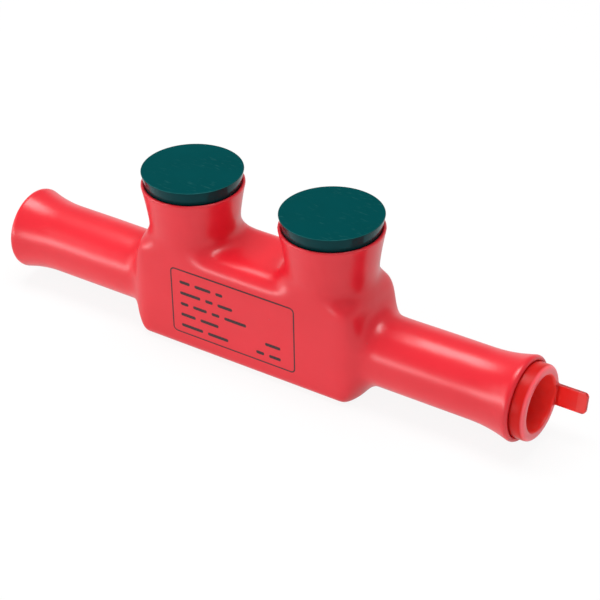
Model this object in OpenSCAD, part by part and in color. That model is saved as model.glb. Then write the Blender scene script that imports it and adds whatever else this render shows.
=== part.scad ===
// Insulated in-line splice connector: a metal block with two clamping screws inside a
// dip-moulded vinyl cover that runs out into two cable tubes and two screw wells.
// Millimetres, +Z up, +X along the cables. The origin is the middle of the flat base.

/* [Cover body] */
// Length of the cover from one flared mouth to the other
cover_length = 216; // [190:1:250]
// Length of the rounded body over its end walls
body_length = 95; // [92:0.5:110]
// Width of the body
body_width = 32.8; // [32:0.2:42]
// Height of the body without the screw wells
body_height = 39.8; // [38:0.5:52]
// Thickness of the vinyl around the block
wall = 3.1; // [2:0.1:4]
// Radius of the body's long top and bottom edges
edge_r = 3.6; // [2:0.1:5]
// Length of the end over which the edges grow round enough for the tube
round_run = 10; // [6:0.5:14]

/* [Shoulders] */
// Outer radius of the shoulder seen from the side, at the top
top_out_r = 4; // [2:0.2:6]
// Hollow radius at the top of the tube's root
top_in_r = 5.5; // [3:0.5:9]
// Outer radius of the shoulder seen from the side, at the bottom
base_out_r = 5; // [2:0.5:8]
// Outer radius of the shoulder seen from above
side_out_r = 10; // [5:0.5:14]
// Hollow radius at the sides and the bottom of the tube's root
root_in_r = 7; // [3:0.5:10]

/* [Cable tubes] */
// Height of the cable axis above the base
axis_z = 17.8; // [16.5:0.1:22]
// Inner diameter of the cable tubes
tube_bore_d = 20.8; // [18:0.2:23]
// Wall of the cable tubes
tube_wall = 2.75; // [1.5:0.1:3.5]
// Inner diameter of the flared mouth at its end
mouth_d = 27.6; // [26:0.2:32]
// Length of the bell-shaped widening inside a mouth
bell_length = 22; // [14:1:30]
// Radius of the hollow curve of the flare outside
flare_r = 55; // [30:5:90]
// Radius of the rounded lip of the mouth
lip_r = 1.45; // [1:0.1:2.5]
// Width of the flat ring left between lip and mouth
lip_flat = 0.3; // [0.1:0.1:1]

/* [Screw wells] */
// Distance of a well's axis from the end of the body
well_inset = 17.85; // [17:0.05:22]
// Height of the well rims above the body
well_height = 21.6; // [18:0.5:28]
// Inner diameter of a well below its cap seat
well_d = 25.8; // [22:0.2:28]
// Wall of a well at its neck
neck_wall = 3.7; // [2.5:0.05:4.5]
// Height of the neck above the body, where the well starts to widen
neck_rise = 6; // [3:0.5:8]
// Growth in radius per millimetre of height at the neck
neck_slope = 0.08; // [0.02:0.01:0.2]
// Taper of the well's root below the neck
root_slope = 0.12; // [0.05:0.01:0.2]
// Radius of the hollow fillet around the root of a well
fillet_r = 3.6; // [2:0.2:5]
// Height to which the fillet climbs over the body's rounded edge
fillet_climb = 1.6; // [0.5:0.1:3]
// Thickness of the lip around the cap
rim_wall = 1.1; // [0.8:0.1:2]
// Depth of the cap's seat below the rim
seat_depth = 7.5; // [5:0.5:10]

/* [Access caps] */
// Diameter of a cap's top disc
cap_d = 37.2; // [34:0.2:42]
// Height of a cap above the rim of its well
cap_proud = 5.1; // [2:0.1:8]
// Taper of a cap, radius per millimetre of height
cap_taper = 0.21; // [0.15:0.01:0.3]
// Thickness of a cap's top disc
cap_top = 2.4; // [1.5:0.1:4]
// Thickness of a cap's skirt
cap_wall = 2.2; // [1.2:0.1:3]
// Rounding of a cap's top edge
cap_edge = 0.4; // [0.2:0.1:1.2]
// Clearance between a cap and its seat
cap_clear = 0.3; // [0.2:0.05:0.6]

/* [Cable plug] */
// Length of the plug's ring in front of the mouth
ring_proud = 5; // [3:0.1:10]
// Diameter of the plug's hole at its face
plug_hole_d = 20.6; // [16:0.2:22]
// Diameter of the plug's hole at its floor
plug_floor_d = 15.8; // [12:0.2:17]
// Depth of the plug inside the mouth
plug_depth = 20; // [12:0.5:21]
// Thickness of the plug's closed end
plug_floor = 2.5; // [1.5:0.1:4]
// Rounding of the plug ring's outer edge
ring_edge = 1.6; // [0.3:0.1:2]
// Rounding of the hole's edge in the plug's face
hole_edge = 0.5; // [0.2:0.1:0.9]
// Clearance between the plug and the mouth
plug_clear = 0.3; // [0.2:0.05:0.6]
// Length of the pull tab in front of the ring
tab_length = 11.8; // [6:0.2:16]
// Width of the pull tab
tab_width = 7.8; // [5:0.1:10]
// Thickness of the pull tab
tab_thick = 1.8; // [1:0.1:2.2]
// Radius of the pull tab's corners
tab_corner = 1.6; // [0.5:0.1:3]
// Angle of the pull tab below the level of the cable axis, on the back side
tab_angle = 12; // [0:1:90]

/* [Connector block] */
// Diameter of the conductor bores
conductor_d = 16.5; // [12:0.1:18]
// Thickness of the solid web between the two bores
web = 6; // [3:0.5:10]
// Rounding of the block's long edges
block_edge = 1; // [0.5:0.1:2]
// Chamfer at the mouths of the bores and tapped holes
mouth_chamfer = 0.8; // [0.3:0.1:1.2]
// Clearance between the block and the cover
block_clear = 0.1; // [0.05:0.05:0.2]

/* [Set screws] */
// Outer diameter of the set screws
screw_d = 19.05; // [14:0.05:20]
// Length of the set screws
screw_length = 16; // [12:0.5:20]
// Width across the flats of the hex socket
hex_flats = 7.94; // [5:0.01:10]
// Depth of the hex socket
hex_depth = 8; // [5:0.5:10]
// Chamfer at both ends of a screw
screw_chamfer = 1.2; // [0.5:0.1:1.8]
// Height of a backed-out screw above its conductor bore
screw_lift = 0.4; // [0.2:0.1:2]
// Running clearance of a screw in its tapped hole
screw_clear = 0.05; // [0.02:0.01:0.1]

/* [Hidden] */
$fn = 64;

// Facets in a quarter turn of the cover's sections
quarter_steps = 8;
// Steps along one arc of a lengthwise profile
arc_steps = 6;
// Overlap of pieces that are joined and overshoot of cuts
bite = 1;
// Straight stretch kept between two corner arcs of a section
min_flat = 0.15;

half_length = cover_length/2;
half_body = body_length/2;
half_width = body_width/2;
tube_r = tube_bore_d/2 + tube_wall;
mouth_r = mouth_d/2;
flare_max = mouth_r + lip_flat + lip_r;
well_x = half_body - well_inset;
rim_z = body_height + well_height;
seat_z = rim_z - seat_depth;
neck_z = body_height + neck_rise;
neck_r = well_d/2 + neck_wall;

cap_top_z = rim_z + cap_proud;
cap_foot_z = seat_z + cap_clear;
rim_r = seat_r(rim_z) + rim_wall;

cavity_half = half_body - wall;
cavity_y = half_width - wall;
block_half = cavity_half - block_clear;
block_z = wall + block_clear;
block_top = body_height - wall - block_clear;
bore_r = conductor_d/2;
screw_r = screw_d/2;
screw_z = axis_z + bore_r + screw_lift;

bell_x = half_length - bell_length;
bell_rise = mouth_r - tube_bore_d/2;
bell_r = (bell_length*bell_length + bell_rise*bell_rise)/(2*bell_rise);
plug_in_x = half_length - plug_depth;
ring_x = half_length + ring_proud;
ring_r = mouth_r - plug_clear;
// The tab's inner face follows on from the inside of the cup
tab_r = plug_hole_d/2 + min_flat + tab_thick/2;

// Fall of a circle of radius r at the distance u from its highest point
function arc_drop(u, r) = r - sqrt(max(r*r - u*u, 0));

// Hollow radius that still fills a step together with its outer radius
function hollow_r(drop, out_r, in_r) = max(in_r, drop - out_r + bite/10);

// Angle at which the two arcs of a step meet
function step_angle(drop, out_r, in_r) = acos(1 - drop/(out_r + hollow_r(drop, out_r, in_r)));

// Fall of a smooth step of two tangent arcs that is steepest at the place mid
function step_drop(x, mid, drop, out_r, in_r) =
    let (
        hollow = hollow_r(drop, out_r, in_r),
        turn = step_angle(drop, out_r, in_r),
        start = mid - out_r*sin(turn),
        end = mid + hollow*sin(turn)
    )
    x <= start ? 0 :
    x <= mid ? arc_drop(x - start, out_r) :
    x < end ? drop - arc_drop(end - x, hollow) : drop;

// Places along a smooth step, evenly spaced in angle
function step_places(mid, drop, out_r, in_r) =
    let (
        hollow = hollow_r(drop, out_r, in_r),
        turn = step_angle(drop, out_r, in_r),
        start = mid - out_r*sin(turn),
        end = mid + hollow*sin(turn)
    )
    concat(
        [for (i = [0 : arc_steps]) start + out_r*sin(turn*i/arc_steps)],
        [for (i = [1 : arc_steps]) end - hollow*sin(turn*(1 - i/arc_steps))]
    );

// Soft blend from 0 to 1
function soft(t) = let (c = min(max(t, 0), 1)) c*c*(3 - 2*c);

// The crest of the mouth's lip and the place where flare and lip meet
crest_x = half_length - lip_r;
flare_rise = flare_max - tube_r;
flare_mid = crest_x - lip_r*sin(step_angle(flare_rise, lip_r, flare_r));

// Outer radius of a cable tube at the distance x from the middle
function tube_outer(x) =
    x > crest_x
        ? flare_max - arc_drop(x - crest_x, lip_r)
        : flare_max - step_drop(-x, -flare_mid, flare_rise, lip_r, flare_r);

// Inner radius of a cable tube at the distance x from the middle
function tube_inner(x) = tube_bore_d/2 + (x > bell_x ? arc_drop(x - bell_x, bell_r) : 0);

// Radius of a cap and of its seat at the height z
function cap_r(z) = cap_d/2 - cap_taper*(cap_top_z - z);
function seat_r(z) = cap_r(z) + cap_clear;

// Outer radius of a well above its neck, on an arc through neck and rim
function well_outer(z) =
    let (
        rise = rim_z - neck_z,
        bend = (rim_r - neck_r - neck_slope*rise)/(rise*rise)
    )
    neck_r + neck_slope*(z - neck_z) + bend*(z - neck_z)*(z - neck_z);

// Heights and widths that the body gives up on its way to the tube
top_fall = body_height - axis_z - tube_r;
base_rise = axis_z - tube_r;
side_fall = half_width - tube_r;

// One section across the cover at x: a rounded rectangle that turns into a circle
function section(x) =
    let (
        d = abs(x),
        swell = tube_outer(d) - tube_r,
        w = half_width - step_drop(d, half_body, side_fall, side_out_r, root_in_r) + swell,
        top = body_height - step_drop(d, half_body, top_fall, top_out_r, top_in_r) + swell,
        low = step_drop(d, half_body, base_rise, base_out_r, root_in_r) - swell,
        full = min(w, (top - low)/2) - min_flat,
        r = min(full, edge_r + (full - edge_r)*soft((d - half_body + round_run/2)/round_run)),
        centres = [[w - r, top - r], [r - w, top - r], [r - w, low + r], [w - r, low + r]]
    )
    [
        for (q = [0 : 3], i = [0 : quarter_steps])
            let (a = 90*(q + i/quarter_steps))
            [x, centres[q][0] + r*cos(a), centres[q][1] + r*sin(a)]
    ];

// Places of the sections on the right half, from the body out to the lip
function right_places() =
    let (turn = step_angle(flare_rise, lip_r, flare_r))
    concat(
        [half_body - round_run/2 - bite, half_body - round_run/2 + bite],
        step_places(half_body, top_fall, top_out_r, top_in_r),
        [for (i = [0 : arc_steps]) flare_mid - flare_r*(sin(turn) - sin(turn*i/arc_steps))],
        [for (i = [1 : arc_steps]) crest_x + lip_r*sin(-turn + (90 + turn)*i/arc_steps)]
    );

// The cover's outer skin without the wells, lofted through all its sections
module cover_loft() {
    right = right_places();
    count = len(right);
    places = concat([for (i = [1 : count]) -right[count - i]], right);
    ring = 4*(quarter_steps + 1);
    points = [for (x = places) each section(x)];
    sides = [
        for (s = [0 : len(places) - 2], i = [0 : ring - 1])
            let (j = (i + 1) % ring)
            [s*ring + i, (s + 1)*ring + i, (s + 1)*ring + j, s*ring + j]
    ];
    first = [for (i = [0 : ring - 1]) i];
    last = [for (i = [0 : ring - 1]) len(points) - 1 - i];
    polyhedron(points, concat(sides, [first, last]), convexity = 6);
}

// A rounded rectangle from its two corners
module rounded_rect(low, high, r) {
    size = high - low;
    translate(low + [r, 0]) square(size - [2*r, 0]);
    translate(low + [0, r]) square(size - [0, 2*r]);
    for (x = [low[0] + r, high[0] - r], y = [low[1] + r, high[1] - r])
        translate([x, y]) circle(r);
}

// The space inside which a well's root fillet stays, a little under the body's outline
module fillet_limits() {
    inset = bite/5;
    // The limit leaves the body's side where the body's own edge does, and climbs past it
    blend_r = edge_r + fillet_climb;
    top = body_height + fillet_climb;
    low = body_height - 2*fillet_r - 2*blend_r;
    intersection() {
        rotate([90, 0, 90])
            translate([0, 0, -half_body])
                linear_extrude(body_length)
                    rounded_rect([inset - half_width, low], [half_width - inset, top], blend_r);
        rotate([90, 0, 0])
            translate([0, 0, -half_width])
                linear_extrude(body_width)
                    rounded_rect([inset - half_body, low], [half_body - inset, top], blend_r);
    }
}

// Hollow fillet around the root of a well, turned about its axis
module root_fillet() {
    low = body_height - 2*fillet_r;
    // The arc stops short of level so that it meets the body's top at a clear angle
    last_turn = 78;
    rotate_extrude()
        polygon(concat(
            [[0, low], [neck_r + fillet_r, low]],
            [
                for (i = [0 : arc_steps])
                    let (a = last_turn*(1 - i/arc_steps))
                    [neck_r + fillet_r - fillet_r*cos(a), body_height + fillet_r - fillet_r*sin(a)]
            ],
            [[0, body_height + fillet_r]]
        ));
}

// Outer form of one well: a root that tapers into the body and a mouth that widens upwards
module well_outside() {
    low = body_height - 2*fillet_r;
    lip = rim_wall/3;
    rotate_extrude()
        polygon(concat(
            [[0, low], [neck_r - root_slope*(neck_z - low), low]],
            [
                for (i = [0 : arc_steps])
                    let (z = neck_z + (rim_z - lip - neck_z)*i/arc_steps)
                    [well_outer(z), z]
            ],
            [[well_outer(rim_z) - lip, rim_z], [0, rim_z]]
        ));
}

// Space inside one well: the screw's shaft, the cap's seat and the open mouth
module well_inside() {
    foot = block_top - bite;
    mouth = rim_z + bite;
    rotate_extrude()
        polygon([
            [0, foot],
            [well_d/2, foot],
            [well_d/2, seat_z],
            [seat_r(seat_z), seat_z],
            [seat_r(mouth), mouth],
            [0, mouth]
        ]);
}

// Space inside the right cable tube, from the block out through the bell mouth
module tube_inside() {
    translate([0, 0, axis_z])
        rotate([0, 90, 0])
            rotate_extrude()
                polygon(concat(
                    [[0, cavity_half - bite], [tube_bore_d/2, cavity_half - bite]],
                    [
                        for (i = [0 : arc_steps])
                            let (x = bell_x + bell_length*i/arc_steps)
                            [tube_inner(x), x]
                    ],
                    [[mouth_r, half_length + bite], [0, half_length + bite]]
                ));
}

// Space inside the body that the block fills
module block_space() {
    rotate([90, 0, 90])
        translate([0, 0, -cavity_half])
            linear_extrude(2*cavity_half)
                rounded_rect([-cavity_y, wall], [cavity_y, body_height - wall], block_edge);
}

// The vinyl cover in one piece
module insulating_cover() {
    color("#e63c3c")
        difference() {
            union() {
                cover_loft();
                for (side = [-1, 1])
                    translate([side*well_x, 0, 0]) well_outside();
                intersection() {
                    union() {
                        for (side = [-1, 1])
                            translate([side*well_x, 0, 0]) root_fillet();
                    }
                    fillet_limits();
                }
            }
            block_space();
            for (side = [-1, 1])
                translate([side*well_x, 0, 0]) well_inside();
            tube_inside();
            mirror([1, 0, 0]) tube_inside();
        }
}

// A blind conductor bore with its chamfered mouth, on the right
module conductor_bore() {
    translate([0, 0, axis_z])
        rotate([0, 90, 0])
            rotate_extrude()
                polygon([
                    [0, web/2],
                    [bore_r, web/2],
                    [bore_r, block_half - mouth_chamfer],
                    [bore_r + mouth_chamfer + bite, block_half + bite],
                    [0, block_half + bite]
                ]);
}

// A tapped hole with its chamfered mouth, from the conductor bore up through the block
module tapped_hole() {
    hole_r = screw_r + screw_clear;
    rotate_extrude()
        polygon([
            [0, axis_z],
            [hole_r, axis_z],
            [hole_r, block_top - mouth_chamfer],
            [hole_r + mouth_chamfer + bite, block_top + bite],
            [0, block_top + bite]
        ]);
}

// The metal block that joins the two conductors
module connector_body() {
    low = [block_clear - cavity_y, block_z];
    high = [cavity_y - block_clear, block_top];
    color("#c9cacc")
        difference() {
            rotate([90, 0, 90])
                translate([0, 0, -block_half])
                    linear_extrude(2*block_half)
                        rounded_rect(low, high, block_edge);
            conductor_bore();
            mirror([1, 0, 0]) conductor_bore();
            for (side = [-1, 1])
                translate([side*well_x, 0, 0]) tapped_hole();
        }
}

// A socket set screw, backed out just clear of its conductor bore
module set_screw() {
    hex_r = hex_flats/2/cos(30);
    top = screw_z + screw_length;
    color("#b9bbbe")
        difference() {
            rotate_extrude()
                polygon([
                    [0, screw_z],
                    [screw_r - screw_chamfer, screw_z],
                    [screw_r, screw_z + screw_chamfer],
                    [screw_r, top - screw_chamfer],
                    [screw_r - screw_chamfer, top],
                    [0, top]
                ]);
            translate([0, 0, top - hex_depth])
                cylinder(r = hex_r, h = hex_depth + bite, $fn = 6);
        }
}

// A hollow tapered stopper with a disc top
module access_cap() {
    hollow_z = cap_top_z - cap_top;
    color("#00504f")
        rotate_extrude()
            polygon(concat(
                [
                    [cap_r(cap_foot_z) - cap_wall, cap_foot_z],
                    [cap_r(cap_foot_z), cap_foot_z]
                ],
                [
                    for (i = [0 : arc_steps])
                        let (a = 90*i/arc_steps)
                        [
                            cap_r(cap_top_z - cap_edge) - cap_edge*(1 - cos(a)),
                            cap_top_z - cap_edge*(1 - sin(a))
                        ]
                ],
                [[0, cap_top_z], [0, hollow_z], [cap_r(hollow_z) - cap_wall, hollow_z]]
            ));
}

// The plug's cup, turned about the cable axis: a stem that follows the bell mouth and a proud ring
module plug_cup() {
    floor_x = plug_in_x + plug_floor;
    hole_r = plug_hole_d/2;
    // The two roundings share the ring's wall and leave a flat between them
    wall_left = ring_r - hole_r - min_flat;
    hole_round = min(hole_edge, wall_left/2);
    ring_round = min(ring_edge, wall_left - hole_round);
    translate([0, 0, axis_z])
        rotate([0, 90, 0])
            rotate_extrude()
                polygon(concat(
                    [[0, plug_in_x]],
                    [
                        for (i = [0 : arc_steps])
                            let (x = plug_in_x + plug_depth*i/arc_steps)
                            [tube_inner(x) - plug_clear, x]
                    ],
                    [
                        for (i = [0 : arc_steps])
                            let (a = 90*i/arc_steps)
                            [ring_r - ring_round*(1 - cos(a)), ring_x - ring_round*(1 - sin(a))]
                    ],
                    [
                        for (i = [0 : arc_steps])
                            let (a = 90*i/arc_steps)
                            [hole_r + hole_round*(1 - sin(a)), ring_x - hole_round*(1 - cos(a))]
                    ],
                    [[plug_floor_d/2, floor_x], [0, floor_x]]
                ));
}

// The flat tab that pulls the plug, grown out of the ring's face
module pull_tab() {
    root = ring_proud/2;
    translate([ring_x - root, 0, axis_z])
        rotate([-tab_angle, 0, 0])
            translate([0, tab_r + tab_thick/2, 0])
                rotate([90, 0, 0])
                    linear_extrude(tab_thick) {
                        rounded_rect([0, -tab_width/2], [root + tab_length, tab_width/2], tab_corner);
                        translate([0, -tab_width/2]) square([root, tab_width]);
                    }
}

module port_plug() {
    color("#eb231e") {
        plug_cup();
        pull_tab();
    }
}

module set_screw_left() {
    translate([-well_x, 0, 0]) set_screw();
}

module set_screw_right() {
    translate([well_x, 0, 0]) set_screw();
}

module access_cap_left() {
    translate([-well_x, 0, 0]) access_cap();
}

module access_cap_right() {
    translate([well_x, 0, 0]) access_cap();
}

insulating_cover();
connector_body();
set_screw_left();
set_screw_right();
access_cap_left();
access_cap_right();
port_plug();
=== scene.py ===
# %% [markdown]
# # A cable splice in a vinyl skin
# Two cable ends meet in a metal block, where two set screws clamp them. The block wears a
# red vinyl cover with a flared tube for each cable and a well over each screw. A green
# stopper closes each well, and a red cup with a pull tab closes the right-hand tube. The
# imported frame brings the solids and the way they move. This lesson gives them their skins.

# %% Load the frame
import math

import bpy
import numpy as np
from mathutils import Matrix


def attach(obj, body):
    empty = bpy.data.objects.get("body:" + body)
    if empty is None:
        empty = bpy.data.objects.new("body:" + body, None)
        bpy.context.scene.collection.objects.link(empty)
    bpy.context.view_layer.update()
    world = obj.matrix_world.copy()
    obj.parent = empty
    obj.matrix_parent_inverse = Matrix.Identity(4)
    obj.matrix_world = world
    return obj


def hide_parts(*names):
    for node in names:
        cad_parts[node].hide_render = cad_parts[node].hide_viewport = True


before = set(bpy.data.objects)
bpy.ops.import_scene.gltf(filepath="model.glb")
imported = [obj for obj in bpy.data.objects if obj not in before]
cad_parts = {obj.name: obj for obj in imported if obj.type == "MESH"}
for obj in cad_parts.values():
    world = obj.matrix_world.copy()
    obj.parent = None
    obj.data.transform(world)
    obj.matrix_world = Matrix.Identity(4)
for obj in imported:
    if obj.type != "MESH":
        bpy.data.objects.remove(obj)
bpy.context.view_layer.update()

import openvdb
from mathutils import Matrix, Vector

MM = 0.001
print("nodes:", sorted(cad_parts))

# %% [markdown]
# ## The camera
# The picture looks down on the splice from the front right with a long lens, so the cover
# narrows only a little towards its far end. A camera can be placed by eye, or worked out
# from known edges. Here its angles, distance and lens were fitted to the rims of the wells,
# the tubes and the flat base. It looks at the middle of the picture, so it needs no shift.

# %% Camera
VIEW_AZIMUTH = math.radians(35.57)
VIEW_ELEVATION = math.radians(32.16)
VIEW_ROLL = math.radians(1.87)
VIEW_DISTANCE = 712.9 * MM
VIEW_PIVOT = Vector((0, 0, 30 * MM))
FRAME_OFFSET = (13.12 * MM, -7.82 * MM)   # from the pivot to the middle of the picture
LENS_MM = 118.9
SENSOR_MM = 36

level_right = Vector((math.cos(VIEW_AZIMUTH), math.sin(VIEW_AZIMUTH), 0))
towards_camera = Vector((
    math.sin(VIEW_AZIMUTH) * math.cos(VIEW_ELEVATION),
    -math.cos(VIEW_AZIMUTH) * math.cos(VIEW_ELEVATION),
    math.sin(VIEW_ELEVATION),
))
level_up = towards_camera.cross(level_right)
camera_right = math.cos(VIEW_ROLL) * level_right - math.sin(VIEW_ROLL) * level_up
camera_up = math.sin(VIEW_ROLL) * level_right + math.cos(VIEW_ROLL) * level_up
camera_place = VIEW_PIVOT + VIEW_DISTANCE * towards_camera
aim = VIEW_PIVOT + FRAME_OFFSET[0] * camera_right + FRAME_OFFSET[1] * camera_up
back = (camera_place - aim).normalized()
right = (camera_right - camera_right.dot(back) * back).normalized()
up = back.cross(right)

camera = bpy.data.objects.new("camera", bpy.data.cameras.new("camera"))
bpy.context.scene.collection.objects.link(camera)
camera.matrix_world = Matrix((right, up, back)).transposed().to_4x4()
camera.location = camera_place
camera.data.lens = LENS_MM
camera.data.sensor_width = SENSOR_MM
camera.data.clip_start = 0.01
camera.data.clip_end = 20
bpy.context.scene.camera = camera
print("camera at", [round(v, 3) for v in camera_place])

# %% [markdown]
# ## Helpers
# Colours are written as the hex values of a paint chart, and one function turns them into
# Blender's linear light. Every material is a small tree of nodes: one function sets a node's
# inputs or joins them to other nodes, and another adds a node in that way. Two more start a
# material and make a mesh object from points in millimetres, which keeps every size
# readable against a drawing of the part.

# %% Helpers
FROM = ("From Min", "From Max")   # inputs that are set in pairs, the limits of a range
TO = ("To Min", "To Max")


def linear(hex_colour):
    """An sRGB hex colour as linear red, green, blue and alpha."""
    levels = [int(hex_colour[i:i + 2], 16) / 255 for i in (1, 3, 5)]
    return [v / 12.92 if v <= 0.04045 else ((v + 0.055) / 1.055) ** 2.4 for v in levels] + [1.0]


def set_inputs(node, values=None, links=None):
    """Sets inputs of a node, and joins others to an output or to the first output of a node."""
    for sockets, value in (values or {}).items():
        rows = zip(sockets, value) if isinstance(sockets, tuple) else [(sockets, value)]
        for socket, number in rows:
            node.inputs[socket].default_value = number
    for socket, source in (links or {}).items():
        if isinstance(source, bpy.types.Node):
            source = next(output for output in source.outputs if output.enabled)
        node.id_data.links.new(source, node.inputs[socket])


def add_node(tree, kind, values=None, links=None, **settings):
    """Adds one node with its settings, input values and links."""
    node = tree.nodes.new("ShaderNode" + kind)
    for name, value in settings.items():
        setattr(node, name, value)
    set_inputs(node, values, links)
    return node


def new_material(name):
    """A new material, its node tree, its main shader, and the place on the object."""
    material = bpy.data.materials.new(name)
    material.use_nodes = True
    tree = material.node_tree
    print("material:", name)
    return material, tree, tree.nodes["Principled BSDF"], add_node(tree, "TexCoord").outputs["Object"]


def add_piece(name, points_mm, faces, material, body, smooth=True):
    """A mesh object from points in millimetres that rides on a body of the frame."""
    mesh = bpy.data.meshes.new(name)
    mesh.from_pydata([tuple(p) for p in np.asarray(points_mm, float) * MM], [], faces)
    mesh.validate()
    mesh.polygons.foreach_set("use_smooth", [smooth] * len(mesh.polygons))
    piece = bpy.data.objects.new(name, mesh)
    bpy.context.scene.collection.objects.link(piece)
    piece.data.materials.append(material)
    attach(piece, body)
    triangles = sum(len(f.vertices) - 2 for f in mesh.polygons)
    print(name, len(mesh.vertices), "points,", triangles, "triangles")
    return piece


print("mid grey #808080 is", round(linear("#808080")[0], 3), "in linear light")

# %% [markdown]
# ## Vinyl plastisol, dip-moulded
# The cover is vinyl plastisol. A hot metal form is dipped in the liquid, comes out with a
# skin, and is baked. The skin is coloured through, so it never chips to another colour, and
# its outside is a free surface: semi-gloss, a little wavy, with a few trapped specks that
# stand up as pimples. The eye gets a plain red with soft, broad highlights whose edges
# wander. An image could hold all this. Noise at a few real sizes needs none, and a bump
# node for each size, laid on the one before, bends the light.

# %% Vinyl of the cover
VINYL_RED = "#e21f2f"
VINYL_DEEP = "#dc1b2a"
VINYL_SPECK = "#cf343c"
VINYL_IOR = 1.53
VINYL_ROUGHNESS = (0.278, 0.312)
VINYL_CLOUD_MM = 27.0    # patches of brighter and deeper red
CLOUD_RANGE = (0.3, 0.7)  # where most values of a noise lie
SPECK_MM = 13.0          # mean distance between trapped specks
SPECK_RISE = (0.034, 0.004)   # foot and top of a speck, in shares of that distance
PIMPLE_MM = 0.07         # height of a speck
SKIN_RELIEF = [          # spacing in mm, detail of the noise, height in mm
    (24.0, 0.0, 0.70),   # thick and thin stretches of the skin
    (9.0, 1.0, 0.10),    # slow waves of a skin that ran before it set
    (1.6, 2.0, 0.010),   # orange peel; usually about 0.8 mm apart, drawn coarser so that it shows
]

vinyl, tree, shader, place = new_material("vinyl plastisol, dip-moulded red")
cloud = add_node(tree, "TexNoise", {"Scale": 1 / (VINYL_CLOUD_MM * MM), "Detail": 3.0}, {"Vector": place})
tone = add_node(tree, "MapRange", {FROM: CLOUD_RANGE}, {"Value": cloud})
reds = add_node(tree, "Mix", {"A": linear(VINYL_DEEP), "B": linear(VINYL_RED)}, {"Factor": tone},
                data_type="RGBA")
specks = add_node(tree, "TexVoronoi", {"Scale": 1 / (SPECK_MM * MM)}, {"Vector": place})
speck = add_node(tree, "MapRange", {FROM: SPECK_RISE}, {"Value": specks})
skin = add_node(tree, "Mix", {"B": linear(VINYL_SPECK)}, {"Factor": speck, "A": reds}, data_type="RGBA")
gloss = add_node(tree, "MapRange", {TO: VINYL_ROUGHNESS}, {"Value": tone})
below = {}
for spacing, detail, height in SKIN_RELIEF:
    noise = add_node(tree, "TexNoise", {"Scale": 1 / (spacing * MM), "Detail": detail}, {"Vector": place})
    below = {"Normal": add_node(tree, "Bump", {"Distance": height * MM}, {"Height": noise, **below})}
pimpled = add_node(tree, "Bump", {"Distance": PIMPLE_MM * MM}, {"Height": speck, **below})
set_inputs(shader, {"IOR": VINYL_IOR}, {"Base Color": skin, "Roughness": gloss, "Normal": pimpled})

# %% [markdown]
# ## The cover as a soft field
# A dipped skin has no sharp inner corner anywhere, because the liquid fills it. Subdivision
# surfaces can do that, but round wells that grow out of a box that grows into tubes make a
# hard cage to draw. A distance field does it in the same way as the liquid: every grid
# point knows how far it is from each form, the forms are joined with round corners, the
# hollows are taken away, and a mesh is drawn where the distance is nought.
#
# The sizes are those of the solid model, in millimetres, but the fillets around the wells
# are larger, the rims 0.1 mm wider, and the gaps around stoppers and cup closed to a line.

# %% Sizes of the cover
HALF_LENGTH = 108.0
HALF_BODY = 47.5
HALF_WIDTH = 16.4
BODY_HEIGHT = 39.8
WALL = 3.1
EDGE_R = 3.6
ROUND_RUN = 10.0     # length over which the rectangle turns into a circle
SHOULDER = {"top": (4.0, 5.5), "base": (5.0, 7.0), "side": (10.0, 7.0)}   # round, hollow radius
AXIS_Z = 17.8
BORE_R = 10.4
TUBE_R = 13.15
MOUTH_R = 13.8
BELL_LENGTH = 22.0
FLARE_R = 55.0
LIP_R = 1.45
LIP_FLAT = 0.3
FLARE_MAX = MOUTH_R + LIP_FLAT + LIP_R
WELL_X = 29.65
RIM_Z = 61.4
RIM_WALL = 1.2
WELL_R = 12.9
NECK_R = 16.6
NECK_Z = 45.8
NECK_SLOPE = 0.08
ROOT_SLOPE = 0.12
FILLET_R = 5.0
SEAT_Z = 53.9
CAP_R = 18.6
CAP_TOP_Z = 66.5
CAP_TAPER = 0.21
CAP_CLEAR = 0.3
SNUG_MM = 0.1        # a soft skin presses on what it holds, so the seen gap is only a line


def cap_radius(z):
    """Radius of a stopper's tapered skirt at a height."""
    return CAP_R - CAP_TAPER * (CAP_TOP_Z - z)


rim_r = cap_radius(RIM_Z) + CAP_CLEAR + RIM_WALL
print("radius of a well's rim:", round(rim_r, 2), "mm")

# %% [markdown]
# ## The body that turns into tubes
# Seen along the cables, the cover is a rounded rectangle in the middle and a circle at the
# ends. Its top, base and sides each fall towards the tube on two arcs that touch, one round
# and one hollow, like the shoulder of a bottle. A spline would come close, but the arcs keep
# their radii when a size changes. The tube's flare and rolled lip are such a step as well.

# %% Curves of the outer skin
def arc_drop(u, r):
    """How far an arc has fallen from its crest at a distance from it."""
    return r - math.sqrt(max(r * r - u * u, 0))


def step(drop, out_r, in_r):
    """Start, end and hollow radius of a step of two tangent arcs that meet at place 0."""
    hollow = max(in_r, drop - out_r + 0.1)   # larger where the two arcs could not span the drop
    turn = math.acos(1 - drop / (out_r + hollow))
    return -out_r * math.sin(turn), hollow * math.sin(turn), hollow


def step_drop(x, drop, out_r, in_r):
    """How far such a step has fallen at a place."""
    start, end, hollow = step(drop, out_r, in_r)
    if x <= start:
        return 0.0
    if x <= 0:
        return arc_drop(x - start, out_r)
    return drop - arc_drop(end - x, hollow) if x < end else drop


def ease(t):
    """Smooth step from 0 to 1."""
    t = min(max(t, 0), 1)
    return t * t * (3 - 2 * t)


def tube_outer(x):
    """Outer radius of a tube at a distance from the middle, with its flare and lip."""
    crest = HALF_LENGTH - LIP_R
    if x > crest:
        return FLARE_MAX - arc_drop(x - crest, LIP_R)
    rise = FLARE_MAX - TUBE_R
    start = step(rise, LIP_R, FLARE_R)[0]
    return FLARE_MAX - step_drop(crest + start - x, rise, LIP_R, FLARE_R)


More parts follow.
